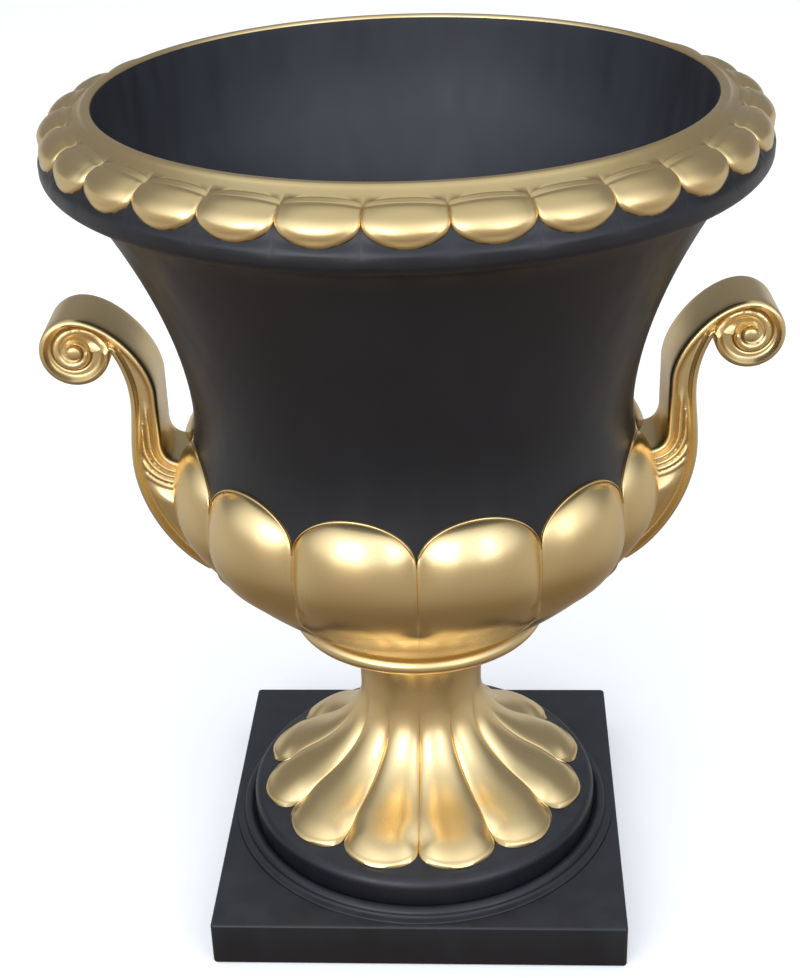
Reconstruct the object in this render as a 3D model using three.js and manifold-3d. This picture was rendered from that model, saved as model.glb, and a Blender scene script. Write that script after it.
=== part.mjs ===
import * as THREE from "three";
import { mergeVertices } from "three/addons/utils/BufferGeometryUtils.js";
import Module from "manifold-3d";

// A two-handled urn planter in black with gilded ornament.
// Millimetres, +Z up, z = 0 on the ground below the middle of the plinth, the front faces -Y.

const wasm = await Module();
wasm.setup();

// Square plinth
const PLINTH_SIDE = 300;
const PLINTH_HEIGHT = 35.5;
const PLINTH_EDGE = 2;

// Round base on the plinth, with its heights above the plinth top
const FILLET_RADIUS = 148.5;
const FILLET_EDGE = 1.2;
const FILLET_HEIGHT = 3;
const RING_RADIUS = 141.5;
const RING_HEIGHT = 7.5;
const RING_ROUNDING = 2;
const GROOVE_RADIUS = 134;
const GROOVE_DEPTH = 1.5;
const DOME_RADIUS = 132.5;
const DOME_EDGE_HEIGHT = 19;
const DOME_ROUNDING = 7.5;
const DOME_SLOPE = 0.5;

// Fluted foot of twelve petals, with its heights above the plinth top
const PETALS = 12;
const PETAL_TIP_RADIUS = 123;
const PETAL_CUSP_RADIUS = 108;
const PETAL_THICKNESS = 5;
const PETAL_RELIEF = 5.5;
const PETAL_VALLEY_SHARE = 0.6;
const PETAL_ROLL = 1;
const PETAL_ROLL_START = 0.8;
const PETAL_FLAT = 38;
const FLARE_HEIGHT = 114;
const FLARE_SPREAD_HEIGHT = 72;

// Neck between the foot and the bowl
const NECK_RADIUS = 45.5;
const NECK_TOP_RADIUS = 60;
const NECK_HEIGHT = 61.5;
const NECK_CURVE = 2.4;
const JOINT_GAP = 0.3;

// Bowl, with its heights above its own underside
const BOWL_TURN_DEG = 2.6;
const BOWL_HEIGHT = 392.2;
const WALL = 10;
const FLOOR = 14;
const LIP_RADIUS = 93.5;
const LIP_HEIGHT = 16;
const LIP_ROUNDING = 6;
const SCOTIA_RADIUS = 89;
const LOBE_FOOT_RADIUS = 95;
const LOBE_FOOT_HEIGHT = 18;
const BELLY_RADIUS = 160.5;
const BELLY_HEIGHT = 107;
const WAIST_RADIUS = 152.5;
const WAIST_HEIGHT = 175;
const THROAT_RADIUS = 203;
const THROAT_HEIGHT = 328;
const BELL_CURVE = 1.75;

// Large lobes around the lower bowl
const LOBES = 12;
const LOBE_TOP_HEIGHT = 156;
const LOBE_CUSP_HEIGHT = 129;
const LOBE_RELIEF = 22;
const LOBE_START_POWER = 1.2;
const LOBE_END_POWER = 4;

// Rim with its thirty small lobes
const RIM_RADIUS = 235;
const RIM_WIDEST_HEIGHT = 361;
const RIM_ROUNDING = 5;
const COVE_RADIUS = 216.5;
const COVE_HEIGHT = 346;
const RIM_LOBES = 30;
const RIM_LOBE_RELIEF = 4;
const RIM_LOBE_EDGE_SHARE = 0.4;
const RIM_LOBE_BED = 2;
const RIM_LOBE_BOTTOM_HEIGHT = 365;
const RIM_LOBE_CUSP_HEIGHT = 375;
const RIM_LOBE_TOP_SHARE = 0.5;
const RIM_LOBE_TOP_CUSP_SHARE = 0.2;
const BAND_RADIUS = 218;
const BAND_HEIGHT = 382.5;
const BAND_TOP_RADIUS = 206;
const MOUTH_RADIUS = 199;
const MOUTH_EDGE = 2;

// Scroll handles, in the plane through the axis, with heights above the bowl's underside
const HANDLE_WIDTH = 52;
const HANDLE_CORE_WIDTH = 45;
const HANDLE_GAP = 0.3;
const SCROLL_OUT = 228;
const SCROLL_HEIGHT = 223;
const SCROLL_RADIUS = 24;
const STEM_OUT = 186.5;
const STEM_THICKNESS = 11.5;
const STEM_HEIGHT = 190;
const HANDLE_BELLY_OUT = 196.5;
const HANDLE_BELLY_HEIGHT = 140;
const HANDLE_BELLY_BEND = 33;
const TAIL_OUT = 150;
const TAIL_HEIGHT = 52;
const TAIL_RUN = 27;
const TAIL_RISE = 17;
const CROOK_BEND = 24;
const WEB_HEIGHT = 139;
const WEB_ROUNDING = 15;
const RIB_INSET = 2;
const RIB_WIDTH = 4;
const SPIRAL_TURNS = 1.35;
const SPIRAL_START_DEG = 207;
const SPIRAL_POWER = 0.8;
const EYE_RADIUS = 5;

// Smoothness of the round work
const PLAIN_SIDES = 60;
const LOBE_SIDES = 96;
const RIM_SIDES = 120;
const NECK_SIDES = 45;
const SPIRAL_SIDES = 12;
const POINT_SPACING = 16;

// Finishes
const BLACK = new THREE.MeshStandardMaterial({ color: 0x26262b, roughness: 0.42, metalness: 0 });
const GOLD = new THREE.MeshStandardMaterial({ color: 0xd9b36a, roughness: 0.3, metalness: 1 });

// Where an angle falls across its lobe: -1 and 1 at the two cusps, 0 on the crest
function across(angle, count) {
  const pitch = (2 * Math.PI) / count;
  const share = angle / pitch - Math.floor(angle / pitch);
  return 2 * share - 1;
}

// Round end of a lobe: 1 on the crest, 0 at the cusps
function scallop(t) {
  return Math.sqrt(Math.max(0, 1 - t * t));
}

// Soft crown of a lobe's cross-section
function crown(t) {
  return 1 - t * t;
}

// Radius of a sampled outline at one height
function radiusAt(outline, z) {
  const next = Math.max(1, outline.findIndex((point) => point.y >= z));
  const above = outline[next];
  const below = outline[next - 1];
  return THREE.MathUtils.mapLinear(z, below.y, above.y, below.x, above.x);
}

// One ring of points around the axis; place(angle) gives its radius and height there.
// Angles run from the front, and the first point lies on a cusp of every row of lobes.
function ring(sides, place) {
  const points = [];
  for (let i = 0; i < sides; i++) {
    const angle = (2 * Math.PI * i) / sides;
    const { r, z } = place(angle);
    points.push(new THREE.Vector3(r * Math.sin(angle), -r * Math.cos(angle), z));
  }
  return points;
}

function plainRing(sides, r, z) {
  return ring(sides, () => ({ r, z }));
}

// Closed skin over rings that run from a point on the axis, up the outside, to a point on the axis
function skin(rings) {
  const positions = [];
  const faces = [];
  const starts = [];
  for (const points of rings) {
    starts.push(positions.length / 3);
    for (const point of points) positions.push(point.x, point.y, point.z);
  }
  for (let k = 1; k < rings.length; k++) {
    const low = rings[k - 1].length;
    const high = rings[k].length;
    const lowSteps = low === 1 ? 0 : low;
    const highSteps = high === 1 ? 0 : high;
    let i = 0;
    let j = 0;
    while (i < lowSteps || j < highSteps) {
      const a = starts[k - 1] + (i % low);
      const b = starts[k] + (j % high);
      const alongLow = j === highSteps || (i < lowSteps && (i + 0.5) * high <= (j + 0.5) * low);
      if (alongLow) {
        i += 1;
        faces.push(a, starts[k - 1] + (i % low), b);
      } else {
        j += 1;
        faces.push(a, starts[k] + (j % high), b);
      }
    }
  }
  const geometry = new THREE.BufferGeometry();
  geometry.setAttribute("position", new THREE.Float32BufferAttribute(positions, 3));
  geometry.setIndex(faces);
  return geometry;
}

// Geometry to solid and back, for the joins and cuts
function solid(geometry) {
  const bare = geometry.clone();
  bare.deleteAttribute("normal");
  bare.deleteAttribute("uv");
  const merged = mergeVertices(bare, 1e-4);
  return new wasm.Manifold(new wasm.Mesh({
    numProp: 3,
    vertProperties: new Float32Array(merged.attributes.position.array),
    triVerts: new Uint32Array(merged.index.array),
  }));
}

function geometryOf(body) {
  const mesh = body.getMesh();
  const geometry = new THREE.BufferGeometry();
  geometry.setAttribute("position", new THREE.BufferAttribute(mesh.vertProperties, 3));
  geometry.setIndex(new THREE.BufferAttribute(mesh.triVerts, 1));
  return geometry;
}

// Shape drawn in the XZ plane, given a width along Y about the middle
function slab(shape, width) {
  const geometry = new THREE.ExtrudeGeometry(shape, {
    depth: width,
    bevelEnabled: false,
    curveSegments: 1,
  });
  geometry.rotateX(Math.PI / 2);
  geometry.translate(0, width / 2, 0);
  return solid(geometry);
}

// Pedestal: neck, petals, round base and square plinth in one casting
function pedestal() {
  const top = PLINTH_HEIGHT;
  const neckTop = top + FLARE_HEIGHT + NECK_HEIGHT;
  const shoulderRadius = DOME_RADIUS - DOME_ROUNDING;
  const shoulderHeight = DOME_EDGE_HEIGHT + DOME_ROUNDING;
  const domeTop = (r) => shoulderHeight + DOME_SLOPE * (shoulderRadius - r);
  const petalTop = (r) => domeTop(r) + PETAL_THICKNESS;
  const flare = new THREE.CubicBezierCurve(
    new THREE.Vector2(NECK_RADIUS, FLARE_HEIGHT),
    new THREE.Vector2(NECK_RADIUS, FLARE_SPREAD_HEIGHT),
    new THREE.Vector2(PETAL_TIP_RADIUS - PETAL_FLAT, petalTop(PETAL_TIP_RADIUS - PETAL_FLAT)),
    new THREE.Vector2(PETAL_TIP_RADIUS, petalTop(PETAL_TIP_RADIUS)),
  );
  const edgeRadius = (t) => THREE.MathUtils.lerp(PETAL_CUSP_RADIUS, PETAL_TIP_RADIUS, scallop(t));
  const reach = (t) => (edgeRadius(t) - NECK_RADIUS) / (PETAL_TIP_RADIUS - NECK_RADIUS);

  // Rows of the fluted foot, from the neck out to the petals' edge
  const petalRow = (share) => ring(LOBE_SIDES, (angle) => {
    const t = across(angle, PETALS);
    const shortened = THREE.MathUtils.lerp(1, reach(t), Math.max(0, 2 * share - 1));
    const point = flare.getPoint(Math.min(1, share * shortened));
    const rise = Math.sin((Math.PI / 2) * Math.min(1, share * 1.4));
    const swell = PETAL_RELIEF * rise * (crown(t) - PETAL_VALLEY_SHARE);
    const rolled = Math.max(0, (share - PETAL_ROLL_START) / (1 - PETAL_ROLL_START)) ** 2;
    return { r: point.x + swell * 0.5, z: top + point.y + swell * 0.6 - PETAL_ROLL * rolled };
  });
  const neckRow = (share) => plainRing(
    NECK_SIDES,
    THREE.MathUtils.lerp(NECK_RADIUS, NECK_TOP_RADIUS, share ** NECK_CURVE),
    THREE.MathUtils.lerp(top + FLARE_HEIGHT, neckTop, share),
  );
  const petalFoot = ring(LOBE_SIDES, (angle) => {
    const r = edgeRadius(across(angle, PETALS)) + 1;
    return { r, z: top + domeTop(r) };
  });

  const rings = [
    [new THREE.Vector3(0, 0, top - PLINTH_EDGE)],
    plainRing(PLAIN_SIDES, FILLET_RADIUS, top - PLINTH_EDGE),
    plainRing(PLAIN_SIDES, FILLET_RADIUS, top + FILLET_EDGE),
    plainRing(PLAIN_SIDES, RING_RADIUS, top + FILLET_HEIGHT),
    plainRing(PLAIN_SIDES, RING_RADIUS - RING_ROUNDING, top + RING_HEIGHT),
    plainRing(PLAIN_SIDES, GROOVE_RADIUS, top + RING_HEIGHT - GROOVE_DEPTH),
    plainRing(PLAIN_SIDES, DOME_RADIUS, top + DOME_EDGE_HEIGHT),
    plainRing(PLAIN_SIDES, shoulderRadius, top + shoulderHeight),
    petalFoot,
    ...[1, 0.92, 0.74, 0.5, 0.25].map(petalRow),
    ...[0, 0.35, 0.75, 1].map(neckRow),
    [new THREE.Vector3(0, 0, neckTop)],
  ];

  const half = PLINTH_SIDE / 2;
  const square = new THREE.Shape([
    new THREE.Vector2(-half, -half),
    new THREE.Vector2(half, -half),
    new THREE.Vector2(half, half),
    new THREE.Vector2(-half, half),
  ]);
  const plinth = new THREE.ExtrudeGeometry(square, {
    depth: PLINTH_HEIGHT - 2 * PLINTH_EDGE,
    bevelEnabled: true,
    bevelSegments: 1,
    bevelSize: PLINTH_EDGE,
    bevelThickness: PLINTH_EDGE,
    bevelOffset: -PLINTH_EDGE,
  });
  plinth.translate(0, 0, PLINTH_EDGE);
  return geometryOf(solid(plinth).add(solid(skin(rings))));
}

// Outline of the bowl without its lobes, from the foot of the lobes up to the throat
function bowlOutline() {
  const lower = new THREE.CubicBezierCurve(
    new THREE.Vector2(LOBE_FOOT_RADIUS, LOBE_FOOT_HEIGHT),
    new THREE.Vector2(
      THREE.MathUtils.lerp(LOBE_FOOT_RADIUS, BELLY_RADIUS, 0.4),
      THREE.MathUtils.lerp(LOBE_FOOT_HEIGHT, BELLY_HEIGHT, 0.25),
    ),
    new THREE.Vector2(BELLY_RADIUS, THREE.MathUtils.lerp(LOBE_FOOT_HEIGHT, BELLY_HEIGHT, 0.6)),
    new THREE.Vector2(BELLY_RADIUS, BELLY_HEIGHT),
  ).getPoints(12);
  const steps = 6;
  const waist = [];
  const bell = [];
  for (let i = 1; i <= steps; i++) {
    const share = i / steps;
    waist.push(new THREE.Vector2(
      THREE.MathUtils.lerp(BELLY_RADIUS, WAIST_RADIUS, (1 - Math.cos(Math.PI * share)) / 2),
      THREE.MathUtils.lerp(BELLY_HEIGHT, WAIST_HEIGHT, share),
    ));
    bell.push(new THREE.Vector2(
      THREE.MathUtils.lerp(WAIST_RADIUS, THROAT_RADIUS, share ** BELL_CURVE),
      THREE.MathUtils.lerp(WAIST_HEIGHT, THROAT_HEIGHT, share),
    ));
  }
  return [...lower, ...waist, ...bell];
}

// Inside of the bowl: its outline moved in by the wall, from the mouth down to the floor
function insideRings(outline) {
  const wall = [];
  for (let i = 0; i < outline.length - 1; i += 3) {
    const before = outline[Math.max(0, i - 1)];
    const along = new THREE.Vector2().subVectors(outline[i + 1], before).normalize();
    wall.push(plainRing(PLAIN_SIDES, outline[i].x - along.y * WALL, outline[i].y + along.x * WALL));
  }
  return [
    plainRing(PLAIN_SIDES, MOUTH_RADIUS, BOWL_HEIGHT - MOUTH_EDGE),
    plainRing(PLAIN_SIDES, THROAT_RADIUS - WALL, THROAT_HEIGHT),
    ...wall.reverse(),
    plainRing(PLAIN_SIDES, LIP_RADIUS - 2 * WALL, FLOOR + WALL * 0.4),
    plainRing(PLAIN_SIDES, LIP_RADIUS - 3 * WALL, FLOOR),
    [new THREE.Vector3(0, 0, FLOOR)],
  ];
}

// Outside of the bowl, every ring moved out by grow, from the middle of the underside to the mouth
function outsideRings(outline, grow) {
  const plain = (sides, r, z) => plainRing(sides, r + grow, z);
  const lobeRow = (share) => ring(LOBE_SIDES, (angle) => {
    const t = across(angle, LOBES);
    const end = THREE.MathUtils.lerp(LOBE_CUSP_HEIGHT, LOBE_TOP_HEIGHT, scallop(t));
    const z = THREE.MathUtils.lerp(LOBE_FOOT_HEIGHT, end, share);
    const swell = share ** LOBE_START_POWER * Math.sqrt(1 - share ** LOBE_END_POWER) * crown(t);
    return { r: radiusAt(outline, z) + LOBE_RELIEF * swell + grow, z };
  });

  // The rim's quarter round, on which the small lobes lie; share runs from its widest line to the band
  const quarter = (share) => {
    const outwards = Math.cos((Math.PI / 2) * share) ** 0.8;
    const upwards = Math.sin((Math.PI / 2) * share);
    return {
      r: THREE.MathUtils.lerp(BAND_RADIUS, RIM_RADIUS, outwards) - RIM_LOBE_BED,
      z: THREE.MathUtils.lerp(RIM_WIDEST_HEIGHT, BAND_HEIGHT, upwards),
    };
  };
  const span = BAND_HEIGHT - RIM_WIDEST_HEIGHT;
  const rimRow = (share, relief) => ring(RIM_SIDES, (angle) => {
    const t = across(angle + Math.PI / RIM_LOBES, RIM_LOBES);
    const bottom = THREE.MathUtils.lerp(RIM_LOBE_CUSP_HEIGHT, RIM_LOBE_BOTTOM_HEIGHT, scallop(t));
    const start = Math.asin(Math.min(1, (bottom - RIM_WIDEST_HEIGHT) / span)) / (Math.PI / 2);
    const { r, z } = quarter(THREE.MathUtils.lerp(start, 1, share));
    const lift = relief * THREE.MathUtils.lerp(RIM_LOBE_EDGE_SHARE, 1, crown(t));
    return { r: r + lift * 0.8 + grow, z: z + lift * 0.6 };
  });

  // Round tops of the small lobes, part of the way up the slope of the band
  const bandTop = BOWL_HEIGHT - MOUTH_EDGE;
  const rimLobeTops = ring(RIM_SIDES, (angle) => {
    const t = across(angle + Math.PI / RIM_LOBES, RIM_LOBES);
    const share = THREE.MathUtils.lerp(RIM_LOBE_TOP_CUSP_SHARE, RIM_LOBE_TOP_SHARE, scallop(t));
    return {
      r: THREE.MathUtils.lerp(BAND_RADIUS, BAND_TOP_RADIUS, share) + grow,
      z: THREE.MathUtils.lerp(BAND_HEIGHT, bandTop, share),
    };
  });

  return [
    [new THREE.Vector3(0, 0, 0)],
    plain(PLAIN_SIDES, LIP_RADIUS - LIP_ROUNDING, 0),
    plain(PLAIN_SIDES, LIP_RADIUS, LIP_HEIGHT * 0.35),
    plain(PLAIN_SIDES, LIP_RADIUS - 1, LIP_HEIGHT * 0.75),
    plain(PLAIN_SIDES, SCOTIA_RADIUS, LIP_HEIGHT),
    ...[0, 0.2, 0.4, 0.6, 0.78, 0.92, 1].map(lobeRow),
    plain(PLAIN_SIDES, radiusAt(outline, LOBE_TOP_HEIGHT + 5), LOBE_TOP_HEIGHT + 5),
    ...[0.2, 0.5, 0.77, 1].map((share) => {
      const z = THREE.MathUtils.lerp(WAIST_HEIGHT, THROAT_HEIGHT, share);
      return plain(PLAIN_SIDES, radiusAt(outline, z), z);
    }),
    plain(PLAIN_SIDES, COVE_RADIUS, COVE_HEIGHT),
    plain(PLAIN_SIDES, RIM_RADIUS - RIM_ROUNDING, RIM_WIDEST_HEIGHT - 2 * RIM_ROUNDING),
    plain(PLAIN_SIDES, RIM_RADIUS, RIM_WIDEST_HEIGHT - RIM_ROUNDING / 2),
    rimRow(0, 0),
    rimRow(0.08, RIM_LOBE_RELIEF),
    rimRow(0.6, RIM_LOBE_RELIEF),
    rimLobeTops,
    plain(PLAIN_SIDES, BAND_TOP_RADIUS, bandTop),
    plain(PLAIN_SIDES, BAND_TOP_RADIUS - MOUTH_EDGE, BOWL_HEIGHT),
    plain(PLAIN_SIDES, MOUTH_RADIUS + MOUTH_EDGE, BOWL_HEIGHT),
  ];
}

// One scroll handle, standing out along +X, cut to the bowl that it is bonded to
function handle(outline) {
  const center = new THREE.Vector2(SCROLL_OUT, SCROLL_HEIGHT);
  const stemInner = STEM_OUT - STEM_THICKNESS;
  const inBowl = BELLY_RADIUS - 3 * WALL;
  const shape = new THREE.Shape();
  shape.moveTo(inBowl, TAIL_HEIGHT);
  shape.lineTo(TAIL_OUT, TAIL_HEIGHT);
  shape.bezierCurveTo(
    TAIL_OUT + TAIL_RUN, TAIL_HEIGHT + TAIL_RISE,
    HANDLE_BELLY_OUT, HANDLE_BELLY_HEIGHT - HANDLE_BELLY_BEND,
    HANDLE_BELLY_OUT, HANDLE_BELLY_HEIGHT,
  );
  shape.bezierCurveTo(
    HANDLE_BELLY_OUT, HANDLE_BELLY_HEIGHT + HANDLE_BELLY_BEND,
    STEM_OUT, STEM_HEIGHT,
    center.x - SCROLL_RADIUS, center.y,
  );
  shape.absarc(center.x, center.y, SCROLL_RADIUS, Math.PI, 2.5 * Math.PI, false);
  shape.bezierCurveTo(
    center.x - SCROLL_RADIUS, center.y + SCROLL_RADIUS,
    stemInner, STEM_HEIGHT + CROOK_BEND,
    stemInner, STEM_HEIGHT,
  );
  shape.lineTo(stemInner, WEB_HEIGHT + WEB_ROUNDING);
  shape.quadraticCurveTo(stemInner, WEB_HEIGHT, stemInner - WEB_ROUNDING, WEB_HEIGHT);
  shape.lineTo(inBowl, WEB_HEIGHT);
  const points = spread(shape);

  const rib = new THREE.Shape(inset(points, RIB_INSET));
  rib.holes.push(new THREE.Path(inset(points, RIB_INSET + RIB_WIDTH)));

  const body = slab(new THREE.Shape(points), HANDLE_CORE_WIDTH)
    .add(slab(rib, HANDLE_WIDTH))
    .add(slab(spiral(center), HANDLE_WIDTH));
  const bowlBody = solid(skin([
    ...outsideRings(outline, HANDLE_GAP),
    [new THREE.Vector3(0, 0, BOWL_HEIGHT)],
  ]));
  return geometryOf(body.subtract(bowlBody));
}

// Points along a shape, close together on its curves
function spread(shape) {
  const points = [];
  for (const curve of shape.curves) {
    const parts = Math.max(1, Math.round(curve.getLength() / POINT_SPACING));
    const divisions = curve.isLineCurve ? 1 : parts;
    for (let i = 0; i < divisions; i++) points.push(curve.getPoint(i / divisions));
  }
  points.push(shape.curves[shape.curves.length - 1].getPoint(1));
  return points;
}

// The same outline moved inwards by a distance; the points run anticlockwise
function inset(points, distance) {
  return points.map((point, i) => {
    const before = points[(i + points.length - 1) % points.length];
    const after = points[(i + 1) % points.length];
    const into = new THREE.Vector2().subVectors(point, before).normalize();
    const out = new THREE.Vector2().subVectors(after, point).normalize();
    const normal = new THREE.Vector2(-into.y - out.y, into.x + out.x).normalize();
    const stretch = 1 / Math.max(0.5, normal.x * -into.y + normal.y * into.x);
    return new THREE.Vector2().copy(point).addScaledVector(normal, distance * stretch);
  });
}

// Spiral rib on the scroll, from the border rib in to the eye
function spiral(center) {
  const start = SCROLL_RADIUS - RIB_INSET - RIB_WIDTH / 2;
  const steps = Math.round(SPIRAL_SIDES * SPIRAL_TURNS);
  const outer = [];
  const inner = [];
  for (let i = 0; i <= steps; i++) {
    const share = i / steps;
    const angle = THREE.MathUtils.degToRad(SPIRAL_START_DEG - 360 * SPIRAL_TURNS * share);
    const radius = THREE.MathUtils.lerp(start, EYE_RADIUS, share ** SPIRAL_POWER);
    const half = THREE.MathUtils.lerp(RIB_WIDTH / 2, RIB_WIDTH / 3, share);
    const ray = new THREE.Vector2(Math.cos(angle), Math.sin(angle));
    outer.push(new THREE.Vector2().copy(center).addScaledVector(ray, radius + half));
    inner.push(new THREE.Vector2().copy(center).addScaledVector(ray, radius - half));
  }
  return new THREE.Shape([...outer, ...inner.reverse()].reverse());
}

function named(name, geometry, material) {
  const mesh = new THREE.Mesh(geometry, material);
  mesh.name = name;
  return mesh;
}

const outline = bowlOutline();
const upper = new THREE.Group();
upper.position.z = PLINTH_HEIGHT + FLARE_HEIGHT + NECK_HEIGHT + JOINT_GAP;
upper.rotation.z = THREE.MathUtils.degToRad(BOWL_TURN_DEG);
upper.add(named("bowl", skin([...outsideRings(outline, 0), ...insideRings(outline)]), BLACK));

const scroll = handle(outline);
const right = named("handle_right", scroll, GOLD);
const left = named("handle_left", scroll, GOLD);
left.rotation.z = Math.PI;
upper.add(right, left);

const urn = new THREE.Group();
urn.add(named("pedestal", pedestal(), BLACK), upper);

export default urn;
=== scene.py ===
"""A two-handled urn planter: bowl, pedestal and scroll handles, in black lacquer with gilded ornament."""

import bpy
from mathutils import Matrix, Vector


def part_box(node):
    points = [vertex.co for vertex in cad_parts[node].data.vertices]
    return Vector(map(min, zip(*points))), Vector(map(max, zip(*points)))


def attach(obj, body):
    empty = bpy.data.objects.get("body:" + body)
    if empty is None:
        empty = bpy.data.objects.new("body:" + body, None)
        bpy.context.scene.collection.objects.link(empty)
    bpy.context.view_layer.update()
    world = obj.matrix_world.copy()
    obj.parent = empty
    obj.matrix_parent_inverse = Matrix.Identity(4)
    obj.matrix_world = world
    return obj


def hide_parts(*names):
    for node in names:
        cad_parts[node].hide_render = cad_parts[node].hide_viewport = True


bl_info = {
    "name": "Urn planter",
    "version": (1, 0, 0),
    "blender": (4, 5, 0),
    "location": "View3D > Sidebar > Urn",
    "description": "Dresses the castings of an urn planter and stands them on a pale studio floor",
    "category": "Add Mesh",
}

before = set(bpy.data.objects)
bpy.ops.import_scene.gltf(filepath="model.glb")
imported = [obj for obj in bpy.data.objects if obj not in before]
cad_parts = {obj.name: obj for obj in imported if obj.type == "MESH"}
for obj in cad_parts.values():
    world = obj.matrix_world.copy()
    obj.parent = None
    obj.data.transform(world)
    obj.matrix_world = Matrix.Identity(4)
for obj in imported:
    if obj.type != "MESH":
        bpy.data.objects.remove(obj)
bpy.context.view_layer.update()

import math

import bpy
import numpy as np
from bpy.props import FloatProperty, FloatVectorProperty, IntProperty, PointerProperty
from mathutils import Matrix, Vector
from mathutils.geometry import delaunay_2d_cdt

# All outlines below are in millimetres, and meshes are scaled by MM when they are made
MM = 0.001
BOWL_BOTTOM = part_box("bowl")[0].z / MM
BOWL_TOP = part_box("bowl")[1].z / MM
PLINTH_SIDE = (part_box("pedestal")[1].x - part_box("pedestal")[0].x) / MM
PEDESTAL_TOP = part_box("pedestal")[1].z / MM
BOWL_TURN = math.radians(2.6)

# Each casting is made as one sector and set around the axis this many times
BOWL_SECTORS = 6
PEDESTAL_SECTORS = 4
WELD_DISTANCE = 0.00002
SHARP_ANGLE = math.radians(50)

# Plinth and the round base on it, with heights above the ground
PLINTH_HEIGHT = 35.5
PLINTH_EDGE = 2.0
FILLET_RADIUS = 148.5
FILLET_RISE = 1.4
RING_RADIUS = 141.8
RING_RISE = 7.5
RING_RADII = (4.2, 4.1)
GROOVE_RADIUS = 134.5
DOME_RADIUS = 132.5
DOME_EDGE_RISE = 19.0
DOME_ROUNDING = 7.5
DOME_SLOPE = 0.5

# Fluted foot, with heights above the plinth
PETALS = 12
PETAL_TIP_RADIUS = 123.0
PETAL_CUSP_RADIUS = 108.0
PETAL_THICKNESS = 6.0
PETAL_VALLEY_SHARE = 0.6
PETAL_FLAT = 38.0
FLARE_HEIGHT = 114.0
FLARE_SPREAD_HEIGHT = 72.0
NECK_RADIUS = 45.5
NECK_TOP_RADIUS = 60.0
NECK_CURVE = 2.4
PETAL_ROLL = 5.0
PETAL_ROLL_WIDTH = 20.0
PETAL_PLUMPNESS = 0.9
PETAL_EDGE_LINE = 0.12

# Bowl, with heights above its own underside
WALL = 10.0
FLOOR = 14.0
LIP_RADIUS = 93.5
LIP_HEIGHT = 12.5
LOBE_FOOT_RADIUS = 95.0
LOBE_FOOT_HEIGHT = 18.0
BELLY_RADIUS = 160.5
BELLY_HEIGHT = 107.0
WAIST_RADIUS = 152.5
WAIST_HEIGHT = 175.0
THROAT_RADIUS = 203.0
THROAT_HEIGHT = 328.0
BELL_CURVE = 1.75

# Large lobes around the lower bowl
LOBES = 12
LOBE_TOP_HEIGHT = 156.0
LOBE_CUSP_HEIGHT = 127.0
LOBE_BOTTOM_HEIGHT = 66.0
LOBE_MEAN_CROWN = 0.62
LOBE_CROWN_POWER = 0.82
LOBE_CREASE_RISE = 14.0
LOBE_FADE_BELOW = 8.0
LOBE_FADE_ABOVE = 12.0
LOBE_ROWS = 52
BLACK_ABOVE_LOBES = 6.0

# Rim
RIM_LOBES = 30
RIM_RADIUS = 235.0
RIM_WIDEST_HEIGHT = 361.0
RIM_BED = 3.2
RIM_LOBE_BOTTOM_HEIGHT = 365.0
RIM_LOBE_CUSP_HEIGHT = 377.5
BAND_RADIUS = 218.0
BAND_HEIGHT = 382.5
BAND_TOP_RADIUS = 206.0
RIM_LOBE_TOP_SHARE = 0.55
RIM_LOBE_TOP_CUSP_SHARE = 0.2
MOUTH_RADIUS = 199.0
MOUTH_EDGE = 2.0
RIM_COLUMNS = 18

# Scroll handles, out from the axis and up from the bowl's underside
SCROLL_OUT = 227.3
SCROLL_HEIGHT = 223.0
SCROLL_RADIUS = 24.0
STEM_OUT = 186.5
STEM_THICKNESS = 11.5
STEM_HEIGHT = 190.0
HANDLE_BELLY_OUT = 196.5
HANDLE_BELLY_HEIGHT = 140.0
HANDLE_BELLY_BEND = 33.0
TAIL_OUT = 150.0
TAIL_HEIGHT = 52.0
TAIL_RUN = 27.0
TAIL_RISE = 17.0
CROOK_BEND = 24.0
WEB_HEIGHT = 139.0
WEB_ROUNDING = 15.0
BOND_DEPTH = 6.0
BAND_ROWS = 7
GRID_STEP = 0.9

# Carving of the handles' faces
EYE_RADIUS = 5.0
EYE_RISE = 1.6
EYE_GROOVE = 2.2
GROOVE_TURN = 3.3 * math.pi
GROOVE_SPAN = 14.5
GROOVE_ENTRY = 6.5
GROOVE_ENTRY_TURN = 0.6
GROOVE_CUT = 1.6
RECESS_DEPTH = 3.6
RECESS_TURN = 0.7
COIL_DEPTH = 3.0
COIL_CHANNEL = 2.0
# Ridges that nest under the saddle: how far from it, and how high
RIDGES = ((8.6, 2.3), (13.2, 2.0), (17.6, 1.5), (21.6, 0.9))
RIDGE_HALF_WIDTH = 1.9
LEAF_SWELL = 5.2


# Properties


def length_property(name, default, low, high, about):
    """A length, shown in the scene's own unit"""
    return FloatProperty(name=name, default=default, min=low, max=high, unit="LENGTH", description=about)


def colour_property(name, default, about):
    """A plain colour"""
    settings = {"min": 0, "max": 1, "size": 3, "subtype": "COLOR"}
    return FloatVectorProperty(name=name, default=default, description=about, **settings)


def mesh_columns(default, about):
    """How finely a lobe is divided"""
    return IntProperty(name="Columns", default=default, min=12, max=60, description=about)


class UrnBowlSizes(bpy.types.PropertyGroup):
    """Relief of the bowl's two rows of lobes"""

    lobe_relief: length_property(
        "Lobe relief", 0.022, 0.005, 0.03, "How far the crest of a large lobe stands out of the bowl"
    )
    rim_relief: length_property(
        "Rim lobe relief", 0.0052, 0.001, 0.006, "How far the crest of a rim lobe stands out of the rim"
    )
    bead: length_property("Bead", 0.003, 0.001, 0.005, "Width of the raised line around each lobe")
    columns: mesh_columns(36, "Mesh columns across one large lobe")


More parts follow.
